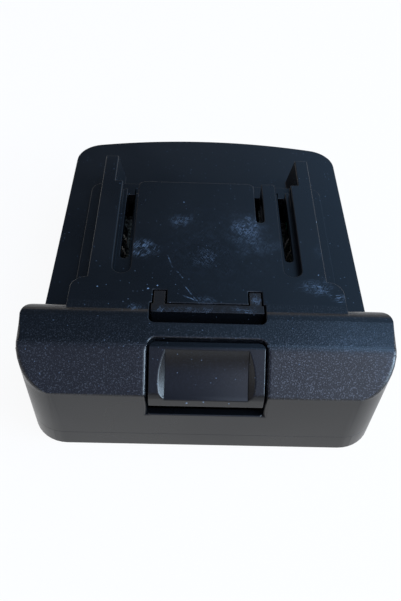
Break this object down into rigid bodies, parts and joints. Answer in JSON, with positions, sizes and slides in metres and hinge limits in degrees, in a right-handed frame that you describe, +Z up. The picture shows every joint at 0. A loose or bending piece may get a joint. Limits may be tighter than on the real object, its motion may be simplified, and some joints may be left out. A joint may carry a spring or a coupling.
{
  "type": "tool battery adapter",
  "caption": "Slide-on adapter for a cordless tool: rails and terminal slots on top, a sprung release latch in the front head and a battery socket underneath.",
  "frame": {"origin": "middle of the underside, under the centre of the part's box", "axes": "+X to the right, +Y from the head to the rear edge, +Z up out of the rails"},
  "size_m": [0.0906, 0.1, 0.0321],
  "materials": {
    "housing_plastic": "finely textured black moulding",
    "latch_plastic": "smooth black moulding",
    "spring_steel": "bright drawn wire",
    "screw_steel": "zinc plated",
    "board_laminate": "green lacquered laminate",
    "contact_brass": "bright rolled sheet",
    "carrier_plastic": "moulded",
    "block_plastic": "moulded",
    "lead_red": "silicone sleeve",
    "lead_black": "silicone sleeve",
    "lead_white": "vinyl sleeve"
  },
  "bodies": {
    "housing": {"upper_housing": "housing_plastic", "lower_housing": "housing_plastic", "left_latch_spring": "spring_steel", "right_latch_spring": "spring_steel", "terminal_board": "board_laminate", "board_screws": "screw_steel", "positive_clip": "contact_brass", "negative_clip": "contact_brass", "signal_connector": "carrier_plastic", "signal_contacts": "contact_brass", "blade_block": "block_plastic", "positive_blade": "contact_brass", "negative_blade": "contact_brass", "temperature_blade": "contact_brass", "positive_lead": "lead_red", "negative_lead": "lead_black", "temperature_lead": "lead_white", "block_screws": "screw_steel", "housing_screws": "screw_steel"},
    "latch": {"release_latch": "latch_plastic"}
  },
  "joints": [
    {"name": "latch_press", "type": "slide", "parent": "housing", "child": "latch", "axis": [0, 0, -1], "range_m": [0, 0.0032], "stiffness_N_per_m": 1200, "springref_m": -0.003, "deforming": ["left_latch_spring", "right_latch_spring"]}
  ]
}
